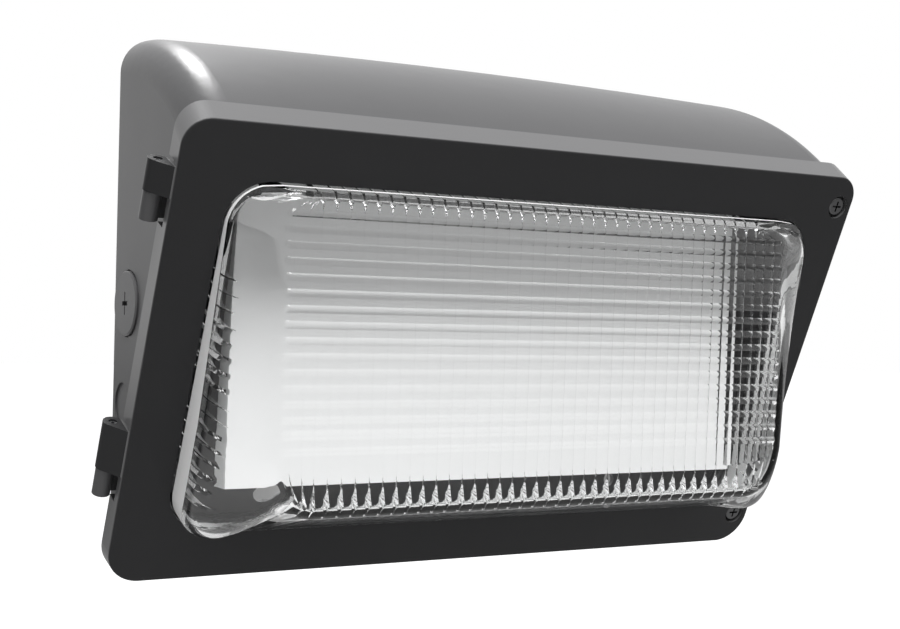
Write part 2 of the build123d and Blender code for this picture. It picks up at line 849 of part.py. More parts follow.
def ground_terminal():
    seat = -wall - ground_boss_height
    front = seat - ground_ring_thickness
    start = ground_x + ground_barrel_gap
    end = start + ground_barrel_length
    ring = rod_y(ground_ring_radius, seat, front, ground_x, ground_z)
    ring += block((ground_x + ground_tongue_start, end), (seat, front), around(ground_z, 2 * ground_barrel_radius))
    ring += rod_x(ground_barrel_radius, start, end, seat - ground_barrel_radius, ground_z)
    return ring - rod_y(driver_screw_radius + small_fit, seat + sink, front - sink, ground_x, ground_z)


def ground_screw():
    seat = -wall - ground_boss_height - ground_ring_thickness
    screw = small_screw(driver_screw_radius, ground_boss_height)
    return Pos(ground_x, seat, ground_z) * facing_front(screw)


def led_socket():
    levels = (tray_back_y, tray_back_y + led_socket_thickness)
    body = block(around(led_socket_x, led_socket_width), levels, around(led_socket_z, led_socket_height))
    return fillet(body.edges().filter_by(Axis.Z), led_socket_round)


def lead(*points):
    # A round lead along straight runs with tangent arcs, each as large as its two runs allow.
    runs = [Vector(b) - Vector(a) for a, b in zip(points, points[1:])]
    radii = []
    for before, after in zip(runs, runs[1:]):
        turn = radians(before.get_angle(after))
        radii.append(0.45 * min(before.length, after.length) / tan(turn / 2))
    path = FilletPolyline(*points, radius=radii if len(radii) > 1 else radii[0])
    return sweep(Plane(origin=path @ 0, z_dir=path % 0) * Circle(lead_radius), path=path)


def supply_lead(number, z):
    # From the driver's left end to a pole of the terminal block.
    x = list(pole_places())[number]
    start = driver_x - driver_width / 2
    y = supply_lead_y
    return lead((start, y, z), (x, y, z), (x, y, terminal_height / 2))


def ground_lead():
    x = list(pole_places())[0]
    y = supply_lead_y
    ring_y = -wall - ground_boss_height - ground_barrel_radius
    end = ground_x + ground_barrel_gap + ground_barrel_length
    turn = (x - ground_lead_step, ring_y, ground_z)
    return lead((x, y, terminal_height / 2), (x, y, ground_z - ground_lead_drop), turn, (end, ring_y, ground_z))


def led_lead(number, z):
    x = led_socket_x + (0.5 - number) * led_lead_pitch
    start = driver_x + driver_width / 2
    socket_y = tray_back_y + led_socket_thickness / 2
    top = led_socket_z + led_socket_height / 2
    return lead((start, led_lead_y, z), (x, led_lead_y, z), (x, socket_y, z - led_lead_drop), (x, socket_y, top))


nodes = {
    "housing": housing(),
    "door_seal": door_seal(),
    "upper_hinge_pin": hinge_pin(0),
    "lower_hinge_pin": hinge_pin(1),
    "conduit_plug": conduit_plug(),
    "plug_seal": plug_seal(),
    "photocell_blank": photocell_blank(),
    "entry_grommet": entry_grommet(),
    "tray_standoffs": tray_standoffs(),
    "light_tray": light_tray(),
    "tray_screws": tray_screws(),
    "lower_light_board": light_board(0),
    "upper_light_board": light_board(1),
    "board_screws": board_screws(),
    "light_chips": light_chips(),
    "diffuser": diffuser(),
    "driver": driver(),
    "driver_screws": driver_screws(),
    "terminal_block": terminal_block(),
    "terminal_screws": terminal_screws(),
    "ground_terminal": ground_terminal(),
    "ground_screw": ground_screw(),
    "led_socket": led_socket(),
    "black_supply_lead": supply_lead(1, black_lead_z),
    "white_supply_lead": supply_lead(2, white_lead_z),
    "ground_lead": ground_lead(),
    "red_led_lead": led_lead(0, black_lead_z),
    "blue_led_lead": led_lead(1, white_lead_z),
    "door_frame": door_frame(),
    "lens_seal": lens_seal(),
    "lens": lens(),
    "lens_clips": lens_clips(),
    "clip_screws": clip_screws(),
    "screw_retainers": screw_retainers(),
    "upper_door_screw": door_screw(0),
    "lower_door_screw": door_screw(1),
}

os.makedirs("parts", exist_ok=True)
for name, shape in nodes.items():
    export_step(shape, f"parts/{name}.step")
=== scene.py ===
import math

import bpy
import numpy as np
from mathutils import Matrix, Vector


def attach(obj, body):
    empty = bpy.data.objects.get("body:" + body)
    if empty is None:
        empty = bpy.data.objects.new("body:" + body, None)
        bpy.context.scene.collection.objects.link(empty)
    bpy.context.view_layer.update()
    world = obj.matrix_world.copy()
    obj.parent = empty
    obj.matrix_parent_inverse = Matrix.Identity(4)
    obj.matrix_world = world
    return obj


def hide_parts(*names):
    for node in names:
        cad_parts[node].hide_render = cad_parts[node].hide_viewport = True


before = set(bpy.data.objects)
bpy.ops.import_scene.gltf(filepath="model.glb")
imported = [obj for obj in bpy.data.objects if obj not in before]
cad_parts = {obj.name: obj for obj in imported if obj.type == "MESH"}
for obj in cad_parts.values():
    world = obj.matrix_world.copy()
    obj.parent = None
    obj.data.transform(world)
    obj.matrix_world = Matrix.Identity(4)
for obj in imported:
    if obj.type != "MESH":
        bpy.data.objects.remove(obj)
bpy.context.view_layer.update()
scene = bpy.context.scene
print("frame loaded,", len(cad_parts), "nodes")


# Camera and studio

camera = {
    "place": (-0.3908, -0.656, -0.005),
    "ahead": (0.513, 0.858, 0.0065),
    "right": (0.858, -0.513, 0.022),
    "lens": 60.6,
    "sensor": 36.0,
    "clip": (0.01, 50.0),
}


def placeCamera():
    # The camera looks ahead, and its upright is the right direction, made square to that, crossed with it.
    data = bpy.data.cameras.new("camera")
    data.lens = camera["lens"]
    data.sensor_width = camera["sensor"]
    data.clip_start, data.clip_end = camera["clip"]
    ahead = Vector(camera["ahead"]).normalized()
    right = Vector(camera["right"])
    right = (right - ahead * right.dot(ahead)).normalized()
    up = right.cross(ahead)
    turn = Matrix((right, up, -ahead)).transposed()
    eye = bpy.data.objects.new("camera", data)
    eye.matrix_world = Matrix.Translation(camera["place"]) @ turn.to_4x4()
    scene.collection.objects.link(eye)
    scene.camera = eye


def nodeOf(tree, kind, values=(), **settings):
    # One shader node with its settings, and its input values by socket name or number.
    node = tree.nodes.new(kind)
    for name, value in settings.items():
        setattr(node, name, value)
    for socket, value in dict(values).items():
        node.inputs[socket].default_value = value
    return node


def seesBackground(tree):
    # 1 for rays from the camera and for those that gloss and glass send out, which see a white background.
    path = nodeOf(tree, "ShaderNodeLightPath")
    first = nodeOf(tree, "ShaderNodeMath", operation="MAXIMUM")
    both = nodeOf(tree, "ShaderNodeMath", operation="MAXIMUM")
    tree.links.new(path.outputs["Is Camera Ray"], first.inputs[0])
    tree.links.new(path.outputs["Is Glossy Ray"], first.inputs[1])
    tree.links.new(first.outputs[0], both.inputs[0])
    tree.links.new(path.outputs["Is Transmission Ray"], both.inputs[1])
    return both.outputs[0]


studio = {
    "fill": 0.18,  # strength of the world's light
    "background": 1.0,  # strength of the world where it is seen
    "white": (1, 1, 1, 1),
    "floorLevel": -0.42,
    "floorSize": 24.0,
    "floorColour": (0.60, 0.60, 0.60, 1.0),
    "floorRoughness": 0.9,
    "floorLift": 0.92,  # added where the camera sees the floor, to meet the background without a line
}

softBoxes = {
    "topBox": {"place": (-0.25, -0.92, 1.45), "aim": (0, -0.05, 0), "size": (1.6, 0.9), "power": 51.0},
    "leftBox": {"place": (-1.5, -0.5, 0.5), "aim": (0, -0.05, 0), "size": (0.5, 1.2), "power": 0.4},
    "rearBox": {"place": (0, 0.75, 1.25), "aim": (-0.1, -0.05, 0.1), "size": (0.4, 0.25), "power": 14.0},
}


def buildWorld():
    # A weak white light on everything, and full white where the background is seen.
    world = bpy.data.worlds.new("studio")
    scene.world = world
    world.use_nodes = True
    tree = world.node_tree
    tree.nodes.clear()
    white = studio["white"]
    light = nodeOf(tree, "ShaderNodeBackground", {"Color": white, "Strength": studio["fill"]})
    seen = nodeOf(tree, "ShaderNodeBackground", {"Color": white, "Strength": studio["background"]})
    mix = nodeOf(tree, "ShaderNodeMixShader")
    out = nodeOf(tree, "ShaderNodeOutputWorld")
    tree.links.new(seesBackground(tree), mix.inputs[0])
    tree.links.new(light.outputs[0], mix.inputs[1])
    tree.links.new(seen.outputs[0], mix.inputs[2])
    tree.links.new(mix.outputs[0], out.inputs["Surface"])


def layFloor():
    # A square floor. For the camera it shines with the lift too.
    half = studio["floorSize"] / 2
    corners = [(-half, -half), (half, -half), (half, half), (-half, half)]
    mesh = bpy.data.meshes.new("floor")
    mesh.from_pydata([(x, y, studio["floorLevel"]) for x, y in corners], [], [(0, 1, 2, 3)])
    floor = bpy.data.objects.new("floor", mesh)
    scene.collection.objects.link(floor)
    paint = bpy.data.materials.new("floorPaint")
    paint.use_nodes = True
    tree = paint.node_tree
    shader = tree.nodes["Principled BSDF"]
    shader.inputs["Base Color"].default_value = studio["floorColour"]
    shader.inputs["Roughness"].default_value = studio["floorRoughness"]
    shader.inputs["Emission Color"].default_value = studio["white"]
    path = nodeOf(tree, "ShaderNodeLightPath")
    lift = nodeOf(tree, "ShaderNodeMath", {1: studio["floorLift"]}, operation="MULTIPLY")
    tree.links.new(path.outputs["Is Camera Ray"], lift.inputs[0])
    tree.links.new(lift.outputs[0], shader.inputs["Emission Strength"])
    mesh.materials.append(paint)


def hangSoftBoxes():
    # Each lamp is turned so that its own minus Z points from its place to its aim.
    for name, box in softBoxes.items():
        data = bpy.data.lights.new(name, "AREA")
        data.shape = "RECTANGLE"
        data.size, data.size_y = box["size"]
        data.energy = box["power"]
        lamp = bpy.data.objects.new(name, data)
        ahead = Vector(box["aim"]) - Vector(box["place"])
        turn = ahead.to_track_quat("-Z", "Y").to_matrix().to_4x4()
        lamp.matrix_world = Matrix.Translation(box["place"]) @ turn
        scene.collection.objects.link(lamp)


placeCamera()
buildWorld()
layFloor()
hangSoftBoxes()
scene.view_settings.view_transform = "Standard"
print("camera and studio ready")


# Effects shared by several materials


def effectGroup(name, inputs, outputs):
    # A shader node group with its sockets, and its tree, input node and output node to build on.
    tree = bpy.data.node_groups.new(name, "ShaderNodeTree")
    kinds = {"colour": "NodeSocketColor", "value": "NodeSocketFloat", "vector": "NodeSocketVector"}
    for socketName, kind, value in inputs:
        socket = tree.interface.new_socket(socketName, in_out="INPUT", socket_type=kinds[kind])
        socket.default_value = value
    for socketName, kind in outputs:
        tree.interface.new_socket(socketName, in_out="OUTPUT", socket_type=kinds[kind])
    return tree, nodeOf(tree, "NodeGroupInput"), nodeOf(tree, "NodeGroupOutput")


def spreadTone(tree, given, result, noise, middle):
    # Colour times 1 + spread * (noise - middle), and roughness plus its own spread * (noise - middle).
    link = tree.links.new
    centred = nodeOf(tree, "ShaderNodeMath", {1: middle}, operation="SUBTRACT")
    tone = nodeOf(tree, "ShaderNodeMath", {2: 1.0}, operation="MULTIPLY_ADD")
    colour = nodeOf(tree, "ShaderNodeVectorMath", operation="SCALE")
    rough = nodeOf(tree, "ShaderNodeMath", operation="MULTIPLY_ADD")
    link(noise, centred.inputs[0])
    link(centred.outputs[0], tone.inputs[0])
    link(given.outputs["Tone Spread"], tone.inputs[1])
    link(given.outputs["Colour"], colour.inputs[0])
    link(tone.outputs[0], colour.inputs["Scale"])
    link(colour.outputs[0], result.inputs["Colour"])
    link(centred.outputs[0], rough.inputs[0])
    link(given.outputs["Roughness Spread"], rough.inputs[1])
    link(given.outputs["Roughness"], rough.inputs[2])
    link(rough.outputs[0], result.inputs["Roughness"])


grain = {
    "slowScale": 14.0,  # changes of tone per metre
    "fineShare": 0.45,  # how much of the fine peel goes into the tone
    "middle": 0.725,  # of the noise that results
}


def makeGrain():
    # Powder coat or plastic: slow changes of tone plus a share of a fine peel, which is also the height.
    tree, given, result = effectGroup(
        "surfaceGrain",
        [
            ("Colour", "colour", (0.1, 0.1, 0.1, 1)),
            ("Scale", "value", 900.0),
            ("Tone Spread", "value", 0.1),
            ("Roughness", "value", 0.5),
            ("Roughness Spread", "value", 0.08),
        ],
        [("Colour", "colour"), ("Roughness", "value"), ("Height", "value")],
    )
    link = tree.links.new
    place = nodeOf(tree, "ShaderNodeTexCoord")
    slowLook = {"Scale": grain["slowScale"], "Detail": 3.0, "Roughness": 0.6}
    slow = nodeOf(tree, "ShaderNodeTexNoise", slowLook)
    fine = nodeOf(tree, "ShaderNodeTexNoise", {"Detail": 2.0, "Roughness": 0.55})
    share = nodeOf(tree, "ShaderNodeMath", {1: grain["fineShare"]}, operation="MULTIPLY")
    both = nodeOf(tree, "ShaderNodeMath", operation="ADD")
    link(place.outputs["Object"], slow.inputs["Vector"])
    link(place.outputs["Object"], fine.inputs["Vector"])
    link(given.outputs["Scale"], fine.inputs["Scale"])
    link(fine.outputs[0], share.inputs[0])
    link(slow.outputs[0], both.inputs[0])
    link(share.outputs[0], both.inputs[1])
    link(fine.outputs[0], result.inputs["Height"])
    spreadTone(tree, given, result, both.outputs[0], middle=grain["middle"])
    return tree


def makeStreaks():
    # Drawn or plated metal: fine noise with its own scale along each axis, for tone, roughness and height.
    tree, given, result = effectGroup(
        "metalStreaks",
        [
            ("Colour", "colour", (0.6, 0.6, 0.6, 1)),
            ("Stretch", "vector", (300.0, 2500.0, 2500.0)),
            ("Tone Spread", "value", 0.2),
            ("Roughness", "value", 0.3),
            ("Roughness Spread", "value", 0.2),
        ],
        [("Colour", "colour"), ("Roughness", "value"), ("Height", "value")],
    )
    link = tree.links.new
    place = nodeOf(tree, "ShaderNodeTexCoord")
    stretch = nodeOf(tree, "ShaderNodeVectorMath", operation="MULTIPLY")
    noise = nodeOf(tree, "ShaderNodeTexNoise", {"Scale": 1.0, "Detail": 3.0})
    link(place.outputs["Object"], stretch.inputs[0])
    link(given.outputs["Stretch"], stretch.inputs[1])
    link(stretch.outputs[0], noise.inputs["Vector"])
    link(noise.outputs[0], result.inputs["Height"])
    spreadTone(tree, given, result, noise.outputs[0], middle=0.5)
    return tree


surfaceGrain = makeGrain()
metalStreaks = makeStreaks()


# Finishes

# A finish is a base with a colour and with whatever it changes
paintBase = {
    "scale": 1400,  # of the grain, per metre
    "tone": 0.16,  # how far the colour spreads
    "rough": 0.36,
    "roughSpread": 0.10,
    "height": 0.00003,  # of the grain, in metres
    "shader": {},  # plain values for the shader
}
plasticBase = {**paintBase, "scale": 2600, "tone": 0.08, "rough": 0.42}
smoothBase = {**paintBase, "roughSpread": 0.08, "height": 0.00001}
wireBase = {**smoothBase, "scale": 3000, "tone": 0.12, "rough": 0.34}
metalBase = {
    "stretch": (1600, 1600, 1600),  # scale of the streaks along each axis, per metre
    "tone": 0.16,
    "roughSpread": 0.12,
    "height": 0.00001,
    "shader": {"Metallic": 1.0},
}


def finishLook(base, colour, **changes):
    # The base's values, a colour, and the changes.
    return {**base, "colour": colour, **changes}


paintFinishes = {
    "housingPaint": finishLook(
        paintBase, (0.070, 0.070, 0.072), rough=0.34, shader={"Specular IOR Level": 0.25}
    ),
    # Darker than the housing's paint: painted shade on the door's face. Its rim gets painted light further
    # on.
    "doorPaintedShadeAndLight": finishLook(paintBase, (0.026, 0.026, 0.027), rough=0.32),
    "fittingPaint": finishLook(paintBase, (0.070, 0.070, 0.072)),
    "sealRubber": finishLook(
        paintBase,
        (0.022, 0.022, 0.022),
        scale=2600,
        tone=0.30,
        rough=0.78,
        height=0.00004,
        shader={"Specular IOR Level": 0.3},
    ),
    "whitePaint": finishLook(
        smoothBase,
        (0.84, 0.85, 0.85),
        scale=1200,
        tone=0.05,
        rough=0.38,
        height=0.00002,
        shader={"Coat Weight": 0.2},
    ),
    "whiteDiffuser": finishLook(smoothBase, (0.90, 0.905, 0.905), scale=2200, tone=0.04, rough=0.55),
    "chipYellow": finishLook(smoothBase, (0.80, 0.52, 0.08), scale=2600, tone=0.10, rough=0.40),
    "driverCase": finishLook(plasticBase, (0.72, 0.72, 0.70)),
    "terminalPlastic": finishLook(
        plasticBase, (0.035, 0.035, 0.038), scale=2400, tone=0.20, rough=0.48, height=0.00002
    ),
    "nylon": finishLook(smoothBase, (0.78, 0.75, 0.68), scale=1800, tone=0.07, rough=0.50),
    "groundGreen": finishLook(
        paintBase,
        (0.05, 0.26, 0.09),
        scale=2000,
        tone=0.18,
        rough=0.35,
        height=0.00001,
        shader={"Metallic": 0.6},
    ),
    "blackWire": finishLook(wireBase, (0.018, 0.018, 0.018), tone=0.20),
    "whiteWire": finishLook(wireBase, (0.78, 0.78, 0.76), tone=0.06),
    "greenWire": finishLook(wireBase, (0.03, 0.30, 0.08)),
    "redWire": finishLook(wireBase, (0.50, 0.02, 0.015)),
    "blueWire": finishLook(wireBase, (0.02, 0.06, 0.38)),
}

metalFinishes = {
    "brightSteel": finishLook(metalBase, (0.66, 0.66, 0.67), rough=0.24),
    "pinSteel": finishLook(
        metalBase, (0.30, 0.30, 0.31), stretch=(900, 900, 4200), tone=0.22, rough=0.34, roughSpread=0.16
    ),
    "brass": finishLook(metalBase, (0.72, 0.55, 0.25), rough=0.28),
    # Chrome screw heads with a dark colour: a painted dark reflection, in place of the dark surroundings
    # the heads reflect
    "paintedDarkChrome": finishLook(
        metalBase,
        (0.09, 0.09, 0.092),
        stretch=(1200, 1200, 1200),
        tone=0.10,
        rough=0.16,
        roughSpread=0.08,
        height=0.000005,
    ),
    "blackSteel": finishLook(metalBase, (0.030, 0.030, 0.032), rough=0.40),
}


def finishWith(name, group, look, **own):
    # A Principled material whose colour, roughness and bump come from an effect group.
    material = bpy.data.materials.new(name)
    material.use_nodes = True
    tree = material.node_tree
    shader = tree.nodes["Principled BSDF"]
    effect = nodeOf(tree, "ShaderNodeGroup", node_tree=group)
    values = {
        "Colour": (*look["colour"], 1),
        "Tone Spread": look["tone"],
        "Roughness": look["rough"],
        "Roughness Spread": look["roughSpread"],
        **own,
    }
    for socket, value in values.items():
        effect.inputs[socket].default_value = value
    bump = nodeOf(tree, "ShaderNodeBump", {"Strength": 1.0, "Distance": look["height"]})
    tree.links.new(effect.outputs["Colour"], shader.inputs["Base Color"])
    tree.links.new(effect.outputs["Roughness"], shader.inputs["Roughness"])
    tree.links.new(effect.outputs["Height"], bump.inputs["Height"])
    tree.links.new(bump.outputs["Normal"], shader.inputs["Normal"])
    for socket, value in look["shader"].items():
        shader.inputs[socket].default_value = value
    return material


def makeFinishes():
    # Every painted, moulded and metal finish, by its name.
    made = {}
    for name, look in paintFinishes.items():
        made[name] = finishWith(name, surfaceGrain, look, Scale=look["scale"])
    for name, look in metalFinishes.items():
        made[name] = finishWith(name, metalStreaks, look, Stretch=look["stretch"])
    return made


# Painted light on the door: a lighter colour and a higher specular level on the rim behind its face
paintedRimLight = {
    "colour": (0.105, 0.105, 0.107, 1),
    "outward": (0.0, -0.91355, -0.40674),  # out of the door's face
    "start": 0.0642,  # along that direction from the light's origin, just behind the face
    "fade": 0.0006,
    "left": -0.1808,  # the hinge knuckles past it keep the face's tone
    "shine": (0.09, 0.5),  # specular level on the face and on the rim, higher on the rim for a painted highlight
}


def paintRimLight(material):
    # Painted light: the rim behind the door's face gets a lighter colour than the face, whose dark colour
    # is painted shade, and a higher specular level for a stronger highlight.
    tree = material.node_tree
    link = tree.links.new
    shader = tree.nodes["Principled BSDF"]
    shadedFaceColour = shader.inputs["Base Color"].links[0].from_socket
    place = nodeOf(tree, "ShaderNodeTexCoord")
    across = nodeOf(tree, "ShaderNodeSeparateXYZ")
    depth = nodeOf(tree, "ShaderNodeVectorMath", {1: paintedRimLight["outward"]}, operation="DOT_PRODUCT")
    ends = {"From Min": paintedRimLight["start"], "From Max": paintedRimLight["start"] - paintedRimLight["fade"]}
    behind = nodeOf(tree, "ShaderNodeMapRange", ends)
    inside = nodeOf(tree, "ShaderNodeMath", {1: paintedRimLight["left"]}, operation="GREATER_THAN")
    paintedLightMask = nodeOf(tree, "ShaderNodeMath", operation="MULTIPLY")
    faceShine, rimShine = paintedRimLight["shine"]
    shine = nodeOf(tree, "ShaderNodeMapRange", {"To Min": faceShine, "To Max": rimShine})
    # Inputs 6 and 7 of a colour mix are its two colours, and its output 2 the mixed one
    mix = nodeOf(tree, "ShaderNodeMix", {7: paintedRimLight["colour"]}, data_type="RGBA")
    link(place.outputs["Object"], depth.inputs[0])
    link(place.outputs["Object"], across.inputs[0])
    link(depth.outputs["Value"], behind.inputs["Value"])
    link(across.outputs["X"], inside.inputs[0])
    link(behind.outputs[0], paintedLightMask.inputs[0])
    link(inside.outputs[0], paintedLightMask.inputs[1])
    link(paintedLightMask.outputs[0], shine.inputs["Value"])
    link(shine.outputs[0], shader.inputs["Specular IOR Level"])
    link(paintedLightMask.outputs[0], mix.inputs[0])
    link(shadedFaceColour, mix.inputs[6])
    link(mix.outputs[2], shader.inputs["Base Color"])


glassBase = {"IOR": 1.5}
lensGlass = {
    "clearLens": {
        **glassBase,
        "Base Color": (0.985, 0.99, 0.99, 1),
        "Roughness": 0.015,
        "Transmission Weight": 1.0,
    },
    "frostedLens": {
        **glassBase,
        "Base Color": (0.95, 0.95, 0.95, 1),
        "Roughness": 0.35,
        "Transmission Weight": 0.1,
    },
}
straightThrough = (0.95, 0.95, 0.95, 1)  # how much both pass of lamplight and of light off matt surfaces


def makeLensGlass(name, look):
    # Polycarbonate. To a shadow ray and to a diffuse one it is transparent, so that the panel is lit.
    material = bpy.data.materials.new(name)
    material.use_nodes = True
    tree = material.node_tree
    shader = tree.nodes["Principled BSDF"]
    for socket, value in look.items():
        shader.inputs[socket].default_value = value
    path = nodeOf(tree, "ShaderNodeLightPath")
    clear = nodeOf(tree, "ShaderNodeBsdfTransparent", {"Color": straightThrough})
    mix = nodeOf(tree, "ShaderNodeMixShader")
    straight = nodeOf(tree, "ShaderNodeMath", operation="MAXIMUM")
    tree.links.new(path.outputs["Is Shadow Ray"], straight.inputs[0])
    tree.links.new(path.outputs["Is Diffuse Ray"], straight.inputs[1])
    tree.links.new(straight.outputs[0], mix.inputs[0])
    tree.links.new(shader.outputs[0], mix.inputs[1])
    tree.links.new(clear.outputs[0], mix.inputs[2])
    tree.links.new(mix.outputs[0], tree.nodes["Material Output"].inputs["Surface"])
    return material


finishes = makeFinishes()
# The door paint's painted light on its rim
paintRimLight(finishes["doorPaintedShadeAndLight"])
for glassName, glassLook in lensGlass.items():
    finishes[glassName] = makeLensGlass(glassName, glassLook)
print("finishes made,", len(finishes))


# The door's own frame: across, up its slope, and out of its face

doorFrame = {"origin": (0.0, -0.059886, -0.023836), "tilt": 24.0}


def fromDoor(across, up, out):
    # Points in the light's frame: the origin plus across along x, up along (-sin, cos) of the tilt in y
    # and z, and out along (-cos, -sin).
    lean = math.radians(doorFrame["tilt"])
    x0, y0, z0 = doorFrame["origin"]
    y = y0 - up * math.sin(lean) - out * math.cos(lean)
    z = z0 + up * math.cos(lean) - out * math.sin(lean)
    return np.stack([x0 + across + 0 * y, y, z], axis=-1)


def toDoor(points):
    # The door's across, up and out of points in the light's frame, the reverse of fromDoor.
    lean = math.radians(doorFrame["tilt"])
    x0, y0, z0 = doorFrame["origin"]
    y, z = points[..., 1] - y0, points[..., 2] - z0
    across = points[..., 0] - x0
    return across, z * math.cos(lean) - y * math.sin(lean), -y * math.cos(lean) - z * math.sin(lean)


def newPiece(name, points, faces, body, finish, sharp):
    # A mesh object from arrays of points and of faces with four corners, riding on a body.
    corners = np.concatenate(faces).astype(np.int32)
    mesh = bpy.data.meshes.new(name)
    mesh.vertices.add(len(points))
    mesh.vertices.foreach_set("co", np.asarray(points, dtype=np.float32).ravel())
    mesh.loops.add(corners.size)
    mesh.loops.foreach_set("vertex_index", corners.ravel())
    mesh.polygons.add(len(corners))
    mesh.polygons.foreach_set("loop_start", np.arange(0, corners.size, 4, dtype=np.int32))
    mesh.update(calc_edges=True)
    mesh.shade_smooth()
    mesh.set_sharp_from_angle(angle=math.radians(sharp))
    mesh.materials.append(finishes[finish])
    piece = bpy.data.objects.new(name, mesh)
    scene.collection.objects.link(piece)
    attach(piece, body)
    return piece


# Lens: a bowl with level bars outside its front. Inside, sharp ridges run over its bottom, up its front and
# over its top, with a gusset in each corner, and others along its sides in the direction the mould draws

lens = {
    "wall": 0.003,
    "openingHalf": 0.1576,
    "openingLow": -0.081,
    "openingHigh": 0.082,
    "openingCorner": 0.0195,
    "gap": 0.001,  # between the lens and the opening's edge
    "flange": 0.005,
    "flangeFront": -0.0045,
    "flangeBack": -0.008,
    "collar": 0.013,  # straight frosted part of the neck at its sides, in front of the door's face
    "levelCollar": 0.4,  # share of that along the bottom and the top
    "collarLimit": 0.25,  # share of the wall's depth that the collar can take
    "edgeHalf": (0.1365, 0.140),  # half width of the front's edge, at its bottom and its top
    "edgeHeight": (-0.0863, 0.048),
    "flatHalf": (0.1343, 0.1343),  # the flat front inside the edge's rounding
    "flatHeight": (-0.0828, 0.0452),
    "innerHalf": (0.1318, 0.1335),  # the flat inside of the front
    "innerInset": (0.0015, 0.001),  # from the inner edge to that flat, at its bottom and its top
    "outerRound": 0.004,  # reach of the edges' rounding on the walls
    "innerRound": 0.0015,
    "sideRound": 0.002,  # added to both at the sides
    "roundLimit": 0.6,  # share of the wall that the rounding can take
    "frontY": -0.096,
    "frontTilt": 1.8,
    "cornerBottom": 0.022,
    "cornerTop": 0.013,
    "straightHalf": 0.1165,  # columns further out fan into the corners
    "ridgePitch": 0.00654,
    "ridgesEachSide": 20,
    "ridgeHalfWidth": 0.00022,
    "plainWidth": 0.001,  # the same columns where there is no ridge
    "pastRidges": (0.1326, 0.1338, 0.1345),  # columns outside the last ridge: the bars end past the first
    "ridgeHeight": 0.00006,  # on the front
    "wallRidge": 0.0011,  # on the bottom
    "topRidge": 0.5,  # share of that on the top
    "gussetBottom": 0.0125,  # reach of a gusset from its corner
    "gussetTop": 0.0055,
    "flankSlope": 0.42,  # half a ridge's width as a share of its height
    "sidePitch": 0.0065,
    "sideTop": 0.050,  # where the side ridges stop, up the door's slope
    "sideRidge": 0.0022,
    "sideFade": (1.5, 3.3),  # a side ridge's height falls as the first less the second times the way along
    "sideHalfWidth": 0.0015,
    "sideBend": (0.7, 2.0),  # added at the sides to the powers by which the walls bend inward and up
    "bars": 16,
    "barPitch": 0.0065,
    "barHeight": 0.0008,
    "barFade": (0.3, 1.15),  # share of that height at the front's bottom and at its top
    "barTop": 0.0405,
    "barSteps": 8,
    "nextBar": 0.99,  # the row before the next bar, as a share of the pitch
    "cornerTurn": math.radians(45),  # turn of the opening's corners up to the front's own corners
    "cornerSteps": (9, 8),  # rows round the bottom and the top corners
    "cornerStart": 0.9,  # angle from which the top corner's rows are spread
    "lowRows": -0.0223,  # rows from the low corner up to here are spread evenly
    "rowPitch": 0.0016,
    # The front's heights where the straight sides start, at lowRows and where they end
    "rowLevels": (-0.0800, -0.0643, 0.0285),
    "leastGap": 0.00012,  # between a side ridge and another row
    "exact": 0.000001,  # smaller differences are rounding
    "wallSteps": 14,
    "roundSteps": 7,
    "sharpAngle": 19.0,
}


def arch(share):
    # A parabola, 1 - (2 s - 1)^2: 0 at both ends of a pitch and 1 in its middle.
    return 1 - (2 * share - 1) ** 2


def gusset(distance, reach):
    # Size of the step in from a corner's walls to a curve that joins them, (r - d)^2 / 4 r for its reach r.
    return np.maximum(reach - distance, 0) ** 2 / (4 * reach)


def lensColumns():
    # Columns from left to right, each a ridge's distance from the middle, number times pitch, with the
    # side of the ridge that it is on: -1 and 1 at its feet and 0 on its crest. Those past the last
    # ridge have 0 too.
    number = np.arange(-lens["ridgesEachSide"], lens["ridgesEachSide"] + 1)
    centre = np.repeat(number * lens["ridgePitch"], 3)
    foot = np.tile([-1.0, 0.0, 1.0], len(number))
    past = np.array(lens["pastRidges"])
    centre = np.concatenate([-past[::-1], centre, past])
    foot = np.concatenate([0 * past, foot, 0 * past])
    crest = (foot == 0) & (np.abs(centre) < past[0])
    return centre, foot, crest


